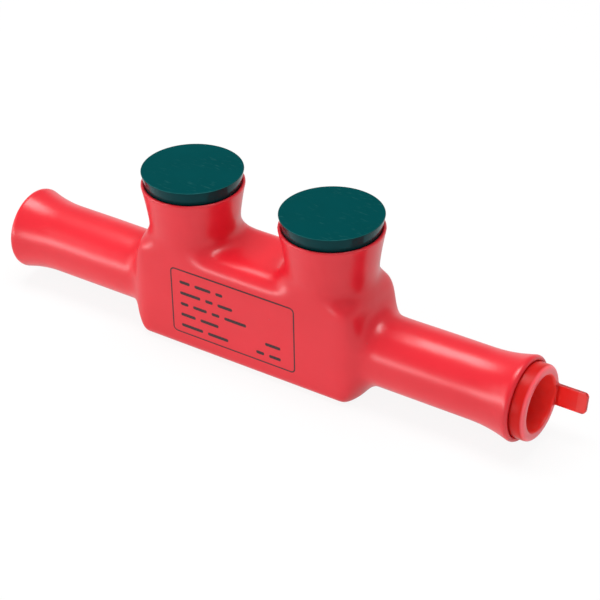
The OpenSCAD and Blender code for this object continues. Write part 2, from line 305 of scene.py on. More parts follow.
print("largest radius of a tube's flare:", round(FLARE_MAX, 2), "mm")

# %% [markdown]
# ## Rings along the cover
# Rings of points at many places along the cover, closest at the shoulders, make a closed
# mesh. Between the wells the rings stand a little higher than the solid model, with rounder
# top edges, because the highlight on the real one fits that better. Why is a guess: liquid
# may have pooled there as the skin set.

# %% Loft of the outer skin
QUARTER = 24         # steps in a quarter turn of one ring
POOL_MM = 1.6        # rise of the skin between the wells, above the solid model
POOL_R = 6.7         # radius of the long top edges there
POOL_ENDS = (22.0, 30.0)   # distances from the middle between which the pool runs out


def ring_at(x):
    """One ring of the cover: a rounded rectangle that turns into a circle."""
    d = abs(x)
    past = d - HALF_BODY
    flare = tube_outer(d) - TUBE_R
    side = HALF_WIDTH - step_drop(past, HALF_WIDTH - TUBE_R, *SHOULDER["side"]) + flare
    top = BODY_HEIGHT - step_drop(past, BODY_HEIGHT - AXIS_Z - TUBE_R, *SHOULDER["top"]) + flare
    low = step_drop(past, AXIS_Z - TUBE_R, *SHOULDER["base"]) - flare
    full = min(side, (top - low) / 2) - 0.02   # a hair under a circle, so that no points meet
    r = min(full, EDGE_R + (full - EDGE_R) * ease(past / ROUND_RUN + 0.5))
    pooled = 1 - ease((d - POOL_ENDS[0]) / (POOL_ENDS[1] - POOL_ENDS[0]))
    top += POOL_MM * pooled
    top_r = r + (POOL_R - EDGE_R) * pooled
    corners = [(side - top_r, top - top_r, top_r), (top_r - side, top - top_r, top_r),
               (r - side, low + r, r), (side - r, low + r, r)]
    ring = []
    for quarter, (corner_y, corner_z, radius) in enumerate(corners):
        for i in range(QUARTER + 1):
            turn = math.pi / 2 * (quarter + i / QUARTER)
            ring.append((x, corner_y + radius * math.cos(turn), corner_z + radius * math.sin(turn)))
    return ring


def ring_faces(rings, around):
    """Faces over rings of points that are counted from 1, closed by a point at each end."""
    faces = [(0, 1 + (i + 1) % around, 1 + i) for i in range(around)]
    last = 1 + (rings - 1) * around
    for a in range(1, last, around):
        b = a + around
        faces += [(a + i, a + (i + 1) % around, b + (i + 1) % around, b + i) for i in range(around)]
    faces += [(last + i, last + (i + 1) % around, last + around) for i in range(around)]
    return faces


# about 1 mm apart on body and tubes, 0.25 mm at the shoulders, and closer over the lip
over_lip = HALF_LENGTH - LIP_R + LIP_R * np.sin(np.linspace(-1.2, math.pi / 2, 24))
right_places = np.concatenate([np.linspace(1, 37, 37), np.linspace(38, 62, 97),
                               np.linspace(63, 104.9, 43), over_lip])
places = np.concatenate([-right_places[::-1], right_places])
rings = np.array([ring_at(x) for x in places], np.float32)
loft_ends = rings[[0, -1]].mean(1)
loft_points = np.concatenate([loft_ends[:1], rings.reshape(-1, 3), loft_ends[1:]])
loft_faces = ring_faces(*rings.shape[:2])
print("loft:", rings.shape[0], "rings of", rings.shape[1], "points")

# %% [markdown]
# ## Tools for fields
# A field is a block of numbers: the distance to a form, less than nought inside it. The
# smaller of two distances joins two forms, and the larger keeps what they share. Writing
# both with a radius gives the rounded corners that every moulded piece has.

# %% Tools for fields
VOXEL = 0.5


def grid_lines(low, shape, spacing):
    """Places of the grid points along x, y and z, shaped so that together they span the grid."""
    x, y, z = (np.float32(low[i] + spacing * np.arange(shape[i])) for i in range(3))
    return x[:, None, None], y[None, :, None], z[None, None, :]


def blur(field, size, voxel=VOXEL):
    """Gaussian blur of a field, size in millimetres."""
    reach = int(math.ceil(2.5 * size / voxel))
    weights = np.exp(-0.5 * (np.arange(-reach, reach + 1) * voxel / size) ** 2)
    weights /= weights.sum()
    for axis in range(3):
        pad = [(reach, reach) if i == axis else (0, 0) for i in range(3)]
        padded = np.pad(field, pad, mode="edge")
        length = field.shape[axis]
        field = sum(np.take(padded, range(i, i + length), axis) * np.float32(weight)
                    for i, weight in enumerate(weights))
    return field


def ramp(value, start, end):
    """Rises from 0 at start to 1 at end."""
    return np.clip((value - start) / (end - start), 0, 1)


def round_join(a, b, r):
    """Field of two forms together, with a hollow fillet between them."""
    return np.maximum(r, np.minimum(a, b)) - np.hypot(np.maximum(r - a, 0), np.maximum(r - b, 0))


def round_cut(a, b, r):
    """Field of what two forms share, with a rounded edge."""
    return np.minimum(-r, np.maximum(a, b)) + np.hypot(np.maximum(r + a, 0), np.maximum(r + b, 0))


print("1 mm from two walls, a 3 mm fillet is", round(float(round_join(1, 1, 3)), 2), "mm away")

# %% [markdown]
# ## Joining and softening
# OpenVDB turns the loft into a field: a block of distances, one every half millimetre. The
# wells are turned forms, so their distance follows from the radius alone. A round join
# leaves a hollow fillet of a given radius between body and wells. Then a blur of 1.7 mm
# softens the body and the roots of the wells, as surface tension does on the real skin. It
# fades out along the tubes and up the necks, whose curves are soft already, and near the
# base it may only add, so that the flat base keeps its outline.

# %% Field of the cover
LOW = np.array([-110.0, -20.5, -2.0])
SHAPE = (441, 83, 129)
FIELD_REACH = 14.0   # voxels on each side of the loft in which its distance is known
RIM_EDGE = 0.35      # rounding of a well's rim
WELL_FOOT = 12.0     # how far a well's outer form reaches down into the body
FILLET_INSET = 0.2   # the fillets stay this far behind the flat sides
SOFT_MM = 1.7        # size of the blur
SOFT_ALONG = (60.0, 72.0)  # distances from the middle over which the blur fades out
SOFT_UP = (1.0, 6.0)       # heights above the neck over which it fades out
SOFT_DOWN = (16.0, 8.0)    # heights over which it comes to add only

triangles, quads = (np.array([f for f in loft_faces if len(f) == n], np.uint32) for n in (3, 4))
grid = openvdb.FloatGrid.createLevelSetFromPolygons(
    loft_points, triangles, quads, openvdb.createLinearTransform(voxelSize=VOXEL), halfWidth=FIELD_REACH)
body_field = np.zeros(SHAPE, np.float32)
grid.copyToArray(body_field, ijk=tuple(int(v) for v in np.round(LOW / VOXEL)))
x, y, z = grid_lines(LOW, SHAPE, VOXEL)
d = np.abs(x)
from_well = np.hypot(d - WELL_X, y)
rise = RIM_Z - NECK_Z
bend = (rim_r - NECK_R - NECK_SLOPE * rise) / rise ** 2
above = np.maximum(z - NECK_Z, 0)
flaring = NECK_SLOPE * above + bend * above ** 2
slope = np.where(z > NECK_Z, NECK_SLOPE + 2 * bend * above, ROOT_SLOPE)
well_side = NECK_R + np.where(z > NECK_Z, flaring, ROOT_SLOPE * (z - NECK_Z))
well_field = round_cut((from_well - well_side) / np.sqrt(1 + slope ** 2), z - RIM_Z, RIM_EDGE)
well_field = np.maximum(well_field, BODY_HEIGHT - WELL_FOOT - z)
fillet = round_join(body_field, well_field, FILLET_R)
fillet = np.maximum(fillet, np.abs(y) - HALF_WIDTH + FILLET_INSET)
joined = np.minimum(np.minimum(body_field, well_field), fillet)
keep = np.maximum(ramp(d, *SOFT_ALONG), ramp(z - NECK_Z, *SOFT_UP))
soft = blur(joined, SOFT_MM)
low_down = ramp(z, *SOFT_DOWN)
soft = np.minimum(joined, soft) * low_down + soft * (1 - low_down)
outer = joined * keep + soft * (1 - keep)
print("outer field from", round(float(outer.min()), 2), "to", round(float(outer.max()), 2), "mm")

# %% [markdown]
# ## Hollows, then the mesh
# Inside the cover are the space for the block, the two screw shafts with their tapered
# seats, and the two bores with bell mouths. Taking the largest of the outer field and the
# turned-round hollow fields cuts them out, and a fine last blur breaks the edges. OpenVDB
# then draws the mesh, and the slope of the field at each point gives a smoother normal than
# the faces could.

# %% Mesh of the cover
BLOCK_HALF = (HALF_BODY - WALL, HALF_WIDTH - WALL, BODY_HEIGHT / 2 - WALL)
OVERLAP = 1.0        # hollows run this far into each other, so that no film is left between
MOUTH_EDGE = 0.2     # rounding where bore and lip meet
EDGE_MM = 0.28       # blur of the finished skin
MERGE = 0.01         # how much flat stretches are drawn with larger faces


def bore_wall(place):
    """Inner radius of a cable tube at a distance from the middle."""
    bell_rise = MOUTH_R - BORE_R
    bell_r = (BELL_LENGTH ** 2 + bell_rise ** 2) / (2 * bell_rise)
    into = np.clip(place - (HALF_LENGTH - BELL_LENGTH), 0, bell_r)
    return BORE_R + bell_r - np.sqrt(bell_r ** 2 - into ** 2)


def mesh_of(field, low, voxel, adaptivity):
    """Points, faces and normals of the surface where a field is nought."""
    volume = openvdb.FloatGrid(background=3.0)
    volume.copyFromArray(field)
    volume.transform = openvdb.createLinearTransform(voxelSize=voxel)
    points, triangles, quads = volume.convertToPolygons(isovalue=0.0, adaptivity=adaptivity)
    faces = [tuple(f) for f in triangles.tolist() + quads.tolist()]
    cell = np.clip(points / voxel, 0, np.array(field.shape) - 1.001)
    base = cell.astype(int)
    part = cell - base
    normals = np.zeros_like(points)
    for axis, slope_field in enumerate(np.gradient(field)):
        for corner in range(8):
            step_to = np.array([corner & 1, corner >> 1 & 1, corner >> 2])
            weight = np.prod(np.where(step_to, part, 1 - part), axis=1)
            normals[:, axis] += weight * slope_field[tuple((base + step_to).T)]
    normals /= np.linalg.norm(normals, axis=1, keepdims=True) + 1e-9
    return points + low, faces, normals


bore = np.maximum(np.hypot(y, z - AXIS_Z) - bore_wall(d), BLOCK_HALF[0] - OVERLAP - d)
shaft = np.maximum(from_well - WELL_R, BODY_HEIGHT - WALL - OVERLAP - z)
seat = (from_well - cap_radius(z) - SNUG_MM) / math.hypot(1, CAP_TAPER)
seat = np.maximum(seat, SEAT_Z - z)
space = np.maximum(np.maximum(d - BLOCK_HALF[0], np.abs(y) - BLOCK_HALF[1]),
                   np.abs(z - BODY_HEIGHT / 2) - BLOCK_HALF[2])
hollows = np.minimum(np.minimum(shaft, seat), space)
cover_field = blur(np.maximum(round_cut(outer, -bore, MOUTH_EDGE), -hollows), EDGE_MM)
points, faces, normals = mesh_of(cover_field, LOW, VOXEL, MERGE)
points[:, 2] = np.maximum(points[:, 2], 0)
cover = add_piece("vinyl_cover", points, faces, vinyl, "housing")
cover.data.normals_split_custom_set_from_vertices(normals.tolist())
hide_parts("insulating_cover")

# %% [markdown]
# ## Printing ink
# The front face carries a print, pressed on with a soft pad. The ink is a thin film, duller
# than the vinyl, so the eye gets a flat black, paler in the pinholes where the film wore.
# A finer noise than the vinyl's is all it needs.

# %% Printing ink
INK_BLACK = "#2a1216"
INK_WORN = "#4a1a1f"
INK_GRAIN_MM = 0.9   # pinholes of the printing pad; usually about 0.3 mm, drawn coarser to show
INK_WEAR = (0.55, 0.75)    # values of the noise between which the ink wears thin
INK_ROUGHNESS = 0.45

ink, tree, shader, place = new_material("printing ink, pad-printed black")
grain = add_node(tree, "TexNoise", {"Scale": 1 / (INK_GRAIN_MM * MM), "Detail": 3.0}, {"Vector": place})
worn = add_node(tree, "MapRange", {FROM: INK_WEAR}, {"Value": grain})
film = add_node(tree, "Mix", {"A": linear(INK_BLACK), "B": linear(INK_WORN)}, {"Factor": worn},
                data_type="RGBA")
set_inputs(shader, {"Roughness": INK_ROUGHNESS}, {"Base Color": film})

# %% [markdown]
# ## The printed panel
# The print is a thin frame with rounded corners around rows of plain dashes. It could be a
# mask in the vinyl's material, but thin prisms keep its edge sharp at any distance. They lie
# 0.03 mm proud of the flat face.

# %% Panel
PANEL = (-29.5, 24.2, 6.8, 34.1)   # left, right, low, high
PANEL_R = 1.9
LINE_MM = 0.5
FRONT = -HALF_WIDTH - 0.03
BEHIND = -HALF_WIDTH + 0.1   # sunk in the skin, so that no gap shows
DASH_MM = 1.25
DASH_R = 0.5
DASH_GAP = 2.2
DASH_MARGIN = 4.0
DASH_ROWS = [        # height, indent, lengths
    (28.2, 0.0, [4.5, 7.0, 3.0]),
    (23.6, 0.0, [9.0, 3.2, 6.4]),
    (19.0, 0.0, [3.4, 6.0, 3.4, 9.5]),
    (14.4, 0.0, [6.4, 8.0]),
    (14.4, 37.0, [6.5]),
    (9.8, 0.0, [9.5, 9.0]),
    (9.8, 33.0, [3.4, 5.0]),
]

ink_points = []
ink_faces = []


def rounded_outline(x0, x1, z0, z1, r, steps=8):
    """Outline of a rounded rectangle in the plane of the front face."""
    corners = [(x1 - r, z1 - r, 0), (x0 + r, z1 - r, 90), (x0 + r, z0 + r, 180), (x1 - r, z0 + r, 270)]
    outline = []
    for corner_x, corner_z, start in corners:
        turns = [math.radians(start + 90 * i / steps) for i in range(steps + 1)]
        outline += [(corner_x + r * math.cos(t), corner_z + r * math.sin(t)) for t in turns]
    return outline


def add_film(outline, hole=None):
    """One film of ink from an outline, solid or as a ring around a hole of as many points."""
    n, base = len(outline), len(ink_points)
    rows = [(outline, FRONT), (outline, BEHIND)]
    pairs = [(0, 1)]
    if hole:
        rows += [(hole, BEHIND), (hole, FRONT)]
        pairs += [(1, 2), (2, 3), (3, 0)]
    for row, depth in rows:
        ink_points.extend((px, depth, pz) for px, pz in row)
    for first, second in pairs:
        a, b = base + first * n, base + second * n
        ink_faces.extend((a + i, a + (i + 1) % n, b + (i + 1) % n, b + i) for i in range(n))
    if not hole:
        ink_faces.append(tuple(base + i for i in reversed(range(n))))
        ink_faces.append(tuple(base + n + i for i in range(n)))


x0, x1, z0, z1 = PANEL
add_film(rounded_outline(x0, x1, z0, z1, PANEL_R),
         rounded_outline(x0 + LINE_MM, x1 - LINE_MM, z0 + LINE_MM, z1 - LINE_MM, PANEL_R - LINE_MM))
for row_z, indent, lengths in DASH_ROWS:
    at = x0 + DASH_MARGIN + indent
    for length in lengths:
        add_film(rounded_outline(at, at + length, row_z, row_z + DASH_MM, DASH_R, 3))
        at += length + DASH_GAP
add_piece("panel_print", ink_points, ink_faces, ink, "housing", smooth=False)

# %% [markdown]
# ## Polyethylene, injection-moulded
# The stoppers are injection-moulded in dark green polyethylene. The mould's floor was left
# matt, so the top disc shows its deep colour with hardly a reflection, while the tapered
# skirt was drawn from a polished wall and shines. One material could do both, but a level of
# reflection is best set on the shader itself, so the skirt takes a copy with a higher one.
# The skirt's deeper green is painted shade.
# Masks from the direction of the surface keep the scuffs on the disc, in the patches that
# hands rub, and put a painted highlight, a paler green, on its rounded edge.

# %% Polyethylene
CAP_GREEN = "#004548"
CAP_DARK = "#003f41"
CAP_SCUFF = "#3f7f7c"
# painted shade: the skirt's deeper green
CAP_SKIRT_PAINTED_SHADE = "#003134"
# painted highlight: a paler green on the rounded edge of the disc
CAP_EDGE_PAINTED_HIGHLIGHT = "#1c6260"
CAP_IOR = 1.51
CAP_SHEEN = "#95f3ff"
FLOW_MM = 14.0       # flow marks of the melt
SCUFF_MM = 0.8       # width of a scuff
SCUFF_STRETCH = (0.22, 1.0, 1.0)   # scuffs run along the splice
SCUFF_SEEN = (0.58, 0.80)  # values of the noise between which a scuff comes out
SCUFF_PALE = 0.22          # how far it goes towards its pale colour
HANDLED = (0.52, 0.40)     # flow values between which the disc is taken as rubbed by hands
DISC_UP = (0.75, 0.97)     # upward share of the surface direction from skirt to disc
CORNER_UP = (0.25, 0.50)   # the same from skirt to the rounded corner
# how far the painted highlight on the edge goes towards its paler green
EDGE_HIGHLIGHT_SHARE = 0.6
CAP_ROUGHNESS = (0.11, 0.20)   # skirt and disc
DISC_SHINE = 0.01
SKIRT_SHINE = 0.18
MATT_MM = 0.7        # grain of the mould's matt floor; usually about 0.3 mm, drawn coarser to show
MATT_DEEP = 0.012    # its depth in mm

green, tree, shader, place = new_material("polyethylene, injection-moulded green")
flow = add_node(tree, "TexNoise", {"Scale": 1 / (FLOW_MM * MM), "Detail": 2.0}, {"Vector": place})
tones = add_node(tree, "Mix", {"A": linear(CAP_DARK), "B": linear(CAP_GREEN)}, {"Factor": flow},
                 data_type="RGBA")
stretch = add_node(tree, "Mapping", {"Scale": SCUFF_STRETCH}, {"Vector": place})
scuffs = add_node(tree, "TexNoise", {"Scale": 1 / (SCUFF_MM * MM), "Detail": 2.0}, {"Vector": stretch})
scuffed = add_node(tree, "MapRange", {FROM: SCUFF_SEEN, "To Max": SCUFF_PALE}, {"Value": scuffs})
handled = add_node(tree, "MapRange", {FROM: HANDLED}, {"Value": flow})
scuffed = add_node(tree, "Math", links={0: scuffed, 1: handled}, operation="MULTIPLY")
normal = add_node(tree, "NewGeometry").outputs["Normal"]
upwards = add_node(tree, "SeparateXYZ", links={"Vector": normal}).outputs["Z"]
on_top = add_node(tree, "MapRange", {FROM: DISC_UP}, {"Value": upwards})
marks = add_node(tree, "Math", links={0: scuffed, 1: on_top}, operation="MULTIPLY")
# painted shade: the skirt takes its deeper green, the disc keeps its own tones
skirt = add_node(tree, "Mix", {"A": linear(CAP_SKIRT_PAINTED_SHADE)}, {"Factor": on_top, "B": tones}, data_type="RGBA")
scraped = add_node(tree, "Mix", {"B": linear(CAP_SCUFF)}, {"Factor": marks, "A": skirt}, data_type="RGBA")
# painted highlight: a band of paler green where the edge rounds from skirt to disc
corner = add_node(tree, "MapRange", {FROM: CORNER_UP}, {"Value": upwards})
edge = add_node(tree, "Math", links={0: corner, 1: on_top}, operation="SUBTRACT")
edge = add_node(tree, "Math", {1: EDGE_HIGHLIGHT_SHARE}, {0: edge}, operation="MULTIPLY", use_clamp=True)
colour = add_node(tree, "Mix", {"B": linear(CAP_EDGE_PAINTED_HIGHLIGHT)}, {"Factor": edge, "A": scraped},
                  data_type="RGBA")
rough = add_node(tree, "MapRange", {TO: CAP_ROUGHNESS}, {"Value": on_top})
texture = add_node(tree, "TexNoise", {"Scale": 1 / (MATT_MM * MM), "Detail": 2.0}, {"Vector": place})
matt = add_node(tree, "Math", links={0: texture, 1: on_top}, operation="MULTIPLY")
relief = add_node(tree, "Bump", {"Distance": MATT_DEEP * MM}, {"Height": matt})
set_inputs(shader, {"IOR": CAP_IOR, "Specular IOR Level": DISC_SHINE},
           {"Base Color": colour, "Roughness": rough, "Normal": relief})

polished = green.copy()
polished.name = "polyethylene, injection-moulded green, polished"
set_inputs(polished.node_tree.nodes["Principled BSDF"],
           {"Specular IOR Level": SKIRT_SHINE, "Specular Tint": linear(CAP_SHEEN)})
print("material:", polished.name)

# %% [markdown]
# ## Stoppers, turned as on a lathe
# A stopper is round, so it is an outline turned about an axis. The Screw modifier would do
# it, but a few lines of code keep the rings even and close both ends on the axis. Small arcs
# at the edges catch the light, and weighted normals keep the flat faces flat beside them.
# The faces that look up take the matt material, all others the polished one.

# %% Stoppers
CAP_EDGE = 0.3       # rounding of the top edge, a little crisper than the solid's 0.4
CAP_WALL = 2.2
CAP_TOP = 2.4
CAP_FOOT_Z = SEAT_Z + CAP_CLEAR
CAP_FOOT_R = 0.5     # rounding of the foot
CAP_INNER_R = 1.0    # rounding of the corner inside
CAP_LEAN = 12        # lean of the skirt in degrees
DISC_FACES_UP = 0.9


def arc(centre, r, start, end, steps=6):
    """Points on an arc in the plane of radius and height, angles in degrees."""
    turns = np.radians(np.linspace(start, end, steps + 1))
    return [(centre[0] + r * math.cos(t), centre[1] + r * math.sin(t)) for t in turns]


def turned(outline, around=160):
    """Points and faces of an outline of (radius or radii, height), turned from axis to axis."""
    turns = np.linspace(0, 2 * math.pi, around, endpoint=False)
    points = [(0, 0, outline[0][1])]
    for radii, h in outline[1:-1]:
        ring = zip(np.broadcast_to(radii, around), turns)
        points += [(r * math.cos(t), r * math.sin(t), h) for r, t in ring]
    points.append((0, 0, outline[-1][1]))
    return np.array(points), ring_faces(len(outline) - 2, around)


inner_z = CAP_TOP_Z - CAP_TOP
inner_r = cap_radius(inner_z) - CAP_WALL
foot_r = cap_radius(CAP_FOOT_Z)
foot_z = CAP_FOOT_Z + CAP_FOOT_R
top_corner = (cap_radius(CAP_TOP_Z - CAP_EDGE) - CAP_EDGE, CAP_TOP_Z - CAP_EDGE)
cap_outline = [(0, inner_z)]
cap_outline += arc((inner_r - CAP_INNER_R, inner_z - CAP_INNER_R), CAP_INNER_R, 90, 0)
cap_outline += arc((foot_r - CAP_WALL + CAP_FOOT_R, foot_z), CAP_FOOT_R, 180, 270, 4)
cap_outline += arc((foot_r - CAP_FOOT_R, foot_z), CAP_FOOT_R, 270, 360 - CAP_LEAN, 4)
cap_outline += arc(top_corner, CAP_EDGE, -CAP_LEAN, 90, 8)
cap_outline += [(0, CAP_TOP_Z)]
cap_points, cap_faces = turned(cap_outline)
for side, sign in (("left", -1), ("right", 1)):
    stopper = add_piece("stopper_" + side, cap_points + [sign * WELL_X, 0, 0], cap_faces, green,
                        "cap_" + side)
    stopper.data.materials.append(polished)
    for face in stopper.data.polygons:
        face.material_index = int(face.normal.z < DISC_FACES_UP)
    stopper.modifiers.new("flat faces stay flat", "WEIGHTED_NORMAL")
    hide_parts("access_cap_" + side)

# %% [markdown]
# ## Clear red vinyl, moulded
# Until the cable goes in, a soft cup keeps dirt out of the right-hand tube. It is moulded in
# unfilled vinyl, brighter and clearer than the cover, so light goes a little way in. The eye
# sees a deep red side in the shade of the lip, a pale face where the thick rim is lit, a
# bright inside, and a tab so thin that the table shines through. Real depth of colour could
# come from a volume, but that renders slowly. Here masks from the place on the cup choose
# between five reds, and four of them paint light and shade: painted shade on the side, a
# painted highlight on the face, and painted light in the hole and on the tab. Subsurface
# light softens them, and only the tab lets light through.

# %% Clear vinyl of the cup
# painted shade: the side keeps these deep reds, as the lip shades it; between them the red varies at
# random
CUP_RED = "#cc1f1d"
CUP_DEEP = "#c01816"
# painted highlight: the pale face of the ring, where it is lit
CUP_FACE_PAINTED_HIGHLIGHT = "#ff6570"
# painted light: a brighter red inside the hole
CUP_HOLE_PAINTED_LIGHT = "#f4413c"
# painted light: a brighter red on the tab, besides the light that really passes through it
CUP_TAB_PAINTED_LIGHT = "#fb2a26"
CUP_TIP = "#ff5650"
CUP_CLOUD_MM = 8.0   # thicker and thinner places
CUP_RIPPLE_MM = 2.5  # ripples of the mould's wall
RIPPLE_DEEP = 0.02   # their depth in mm
CUP_DEPTH_MM = 6.0   # how far red light spreads inside; green and blue hardly do
CUP_SPREAD = (1.0, 0.12, 0.08)
CUP_SOFT = 0.9       # share of the light that goes in and comes out again
CUP_SHINE = (0.1, 0.5)     # level of reflection on the side and on the lit face
CUP_FACE_X = HALF_LENGTH + 5.0
CUP_HOLE = (7.9, 10.3)     # radius at the floor and at the face
TAB_LENGTH = 11.8
TAB_HALF_WIDTH = 3.9
TAB_THICK = 1.8
TAB_CORNER = 1.6
TAB_ANGLE = math.radians(12)
TAB_CLEAR = 0.75     # share of the light that goes through the tab
TIP_PALE = 0.5       # how far the tip goes towards its pale colour

tip_x = CUP_FACE_X + TAB_LENGTH
tab_out = (0, math.cos(TAB_ANGLE), -math.sin(TAB_ANGLE))
tab_side = (0, math.sin(TAB_ANGLE), math.cos(TAB_ANGLE))
EDGES_MM = {         # where each mask begins and where it is full
    "pale": (tip_x - 3.7, tip_x - 3.4),  # the tip of the tab
    "thin": (CUP_FACE_X - 0.2, CUP_FACE_X + 1.5),  # the tab
    "front": (CUP_FACE_X - 1.2, CUP_FACE_X - 0.5),  # the face of the ring
    "beside": (TAB_HALF_WIDTH - 0.4, TAB_HALF_WIDTH + 0.2),  # to the sides of the tab
    "before": (9, 8),  # nearer the axis than the tab
    "inside": (CUP_HOLE[1] + 0.4, CUP_HOLE[1] + 0.1),  # within the hole
}

clear_vinyl, tree, shader, place = new_material("clear red vinyl, moulded")
along_x = add_node(tree, "SeparateXYZ", links={"Vector": place}).outputs["X"]
off_axis = add_node(tree, "VectorMath", {1: (0, 0, AXIS_Z * MM)}, {0: place}, operation="SUBTRACT")
to_tab = add_node(tree, "VectorMath", {1: tab_out}, {0: off_axis}, operation="DOT_PRODUCT")
past_tab = add_node(tree, "VectorMath", {1: tab_side}, {0: off_axis}, operation="DOT_PRODUCT")
past_tab = add_node(tree, "Math", links={0: past_tab}, operation="ABSOLUTE")
radial = add_node(tree, "VectorMath", {1: (0, 1, 1)}, {0: off_axis}, operation="MULTIPLY")
radius = add_node(tree, "VectorMath", links={0: radial}, operation="LENGTH")
measured = {"pale": along_x, "thin": along_x, "front": along_x,
            "beside": past_tab, "before": to_tab, "inside": radius}
mask = {}
for name, (begins, full) in EDGES_MM.items():
    mask[name] = add_node(tree, "MapRange", {FROM: (begins * MM, full * MM)}, {"Value": measured[name]})
set_inputs(mask["pale"], {"To Max": TIP_PALE})
off_root = add_node(tree, "Math", links={0: mask["beside"], 1: mask["before"]}, operation="MAXIMUM")
front = add_node(tree, "Math", links={0: mask["front"], 1: off_root}, operation="MULTIPLY")

cloud = add_node(tree, "TexNoise", {"Scale": 1 / (CUP_CLOUD_MM * MM), "Detail": 2.0}, {"Vector": place})
colour = add_node(tree, "Mix", {"A": linear(CUP_DEEP), "B": linear(CUP_RED)}, {"Factor": cloud},
                  data_type="RGBA")
# painted highlight on the face, painted light in the hole and on the tab, then the paler tip
layers = [(CUP_FACE_PAINTED_HIGHLIGHT, front), (CUP_HOLE_PAINTED_LIGHT, mask["inside"]),
          (CUP_TAB_PAINTED_LIGHT, mask["thin"]), (CUP_TIP, mask["pale"])]
for red, where in layers:
    colour = add_node(tree, "Mix", {"B": linear(red)}, {"Factor": where, "A": colour}, data_type="RGBA")
gloss = add_node(tree, "MapRange", {TO: VINYL_ROUGHNESS}, {"Value": cloud})
ripple = add_node(tree, "TexNoise", {"Scale": 1 / (CUP_RIPPLE_MM * MM), "Detail": 1.0}, {"Vector": place})
relief = add_node(tree, "Bump", {"Distance": RIPPLE_DEEP * MM}, {"Height": ripple})
through = add_node(tree, "Math", {1: TAB_CLEAR}, {0: mask["thin"]}, operation="MULTIPLY")
glint = add_node(tree, "MapRange", {TO: CUP_SHINE}, {"Value": front})
set_inputs(shader,
           {"IOR": VINYL_IOR, "Subsurface Weight": CUP_SOFT, "Subsurface Radius": CUP_SPREAD,
            "Subsurface Scale": CUP_DEPTH_MM * MM},
           {"Base Color": colour, "Transmission Weight": through, "Roughness": gloss, "Normal": relief,
            "Specular IOR Level": glint})

# %% [markdown]
# ## The pull-out cup
# The cup's stem follows the bell mouth, its ring stands proud of it, and a flat tab grows out
# of the ring as if the inside ran on. The tab's root is a soft corner, so the cup is a small
# distance field as well, on a finer grid than the cover's because its edges are finer.

# %% Cup and tab
FINE = 0.3
CUP_LOW = np.array([86.0, -16.0, 1.8])
CUP_SHAPE = (136, 108, 108)
CUP_IN_X = HALF_LENGTH - 20.0
CUP_FLOOR_X = CUP_IN_X + 2.5
RING_EDGE = 1.7      # rounding of the ring's face
CUP_EDGE = 0.5       # rounding of the inner end, of the hole and of the tab's root
CUP_CORNER = 0.6     # rounding of the floor inside
TAB_EDGE = 0.35
TAB_ROOT_X = CUP_FACE_X - 2.3
TAB_OUT = CUP_HOLE[1] + 0.1 + TAB_THICK / 2   # from the axis to the middle of the tab

cx, cy, cz = grid_lines(CUP_LOW, CUP_SHAPE, FINE)
from_axis = np.hypot(cy, cz - AXIS_Z)
stem = np.where(cx < HALF_LENGTH, bore_wall(cx), MOUTH_R) - SNUG_MM
cup_solid = round_cut(from_axis - stem, cx - CUP_FACE_X, RING_EDGE)
cup_solid = round_cut(cup_solid, CUP_IN_X - cx, CUP_EDGE)
hole_r = CUP_HOLE[0] + (CUP_HOLE[1] - CUP_HOLE[0]) * (cx - CUP_FLOOR_X) / (CUP_FACE_X - CUP_FLOOR_X)
cup_hole = round_cut(from_axis - hole_r, CUP_FLOOR_X - cx, CUP_CORNER)
cup_field = round_cut(cup_solid, -cup_hole, CUP_EDGE)

outwards = cy * math.cos(TAB_ANGLE) - (cz - AXIS_Z) * math.sin(TAB_ANGLE)
across = cy * math.sin(TAB_ANGLE) + (cz - AXIS_Z) * math.cos(TAB_ANGLE)
tab_half = (tip_x - TAB_ROOT_X) / 2
along = np.abs(cx - TAB_ROOT_X - tab_half) - tab_half + TAB_CORNER
sideways = np.abs(across) - TAB_HALF_WIDTH + TAB_CORNER
plan = np.hypot(np.maximum(along, 0), np.maximum(sideways, 0))
plan = plan + np.minimum(np.maximum(along, sideways), 0) - TAB_CORNER
tab_field = round_cut(plan, np.abs(outwards - TAB_OUT) - TAB_THICK / 2, TAB_EDGE)
with_tab = round_join(cup_field, tab_field, CUP_EDGE)
cup_field = np.where(cx > HALF_LENGTH + 1, with_tab, cup_field)
cup_field = blur(cup_field.astype(np.float32), EDGE_MM / 2, FINE)
points, faces, normals = mesh_of(cup_field, CUP_LOW, FINE, 0.0)
cup = add_piece("pull_cup", points, faces, clear_vinyl, "plug")
cup.data.normals_split_custom_set_from_vertices(normals.tolist())
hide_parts("port_plug")

# %% [markdown]
# ## Aluminium, turned and tin-plated
# Under each stopper sits a socket set screw, turned from aluminium bar and tin-plated. The
# eye gets a pale satin metal with cloudy tarnish, and on the end face the fine rings of the
# turning tool. The rings could be drawn in an image. A wave texture around each screw's axis
# gives them at any size, and folding the place left to right serves both screws at once.

# %% Tin plate of the screws
SCREW_GREY = "#c3c5c8"
SCREW_TARNISH = "#a9aaab"
TARNISH_MM = 5.0
TOOL_RING_MM = 0.5   # rings of the turning tool; usually about 0.15 mm, drawn coarser to show
TOOL_RING_DEEP = 0.01      # their depth in mm
SCREW_ROUGHNESS = (0.28, 0.40)

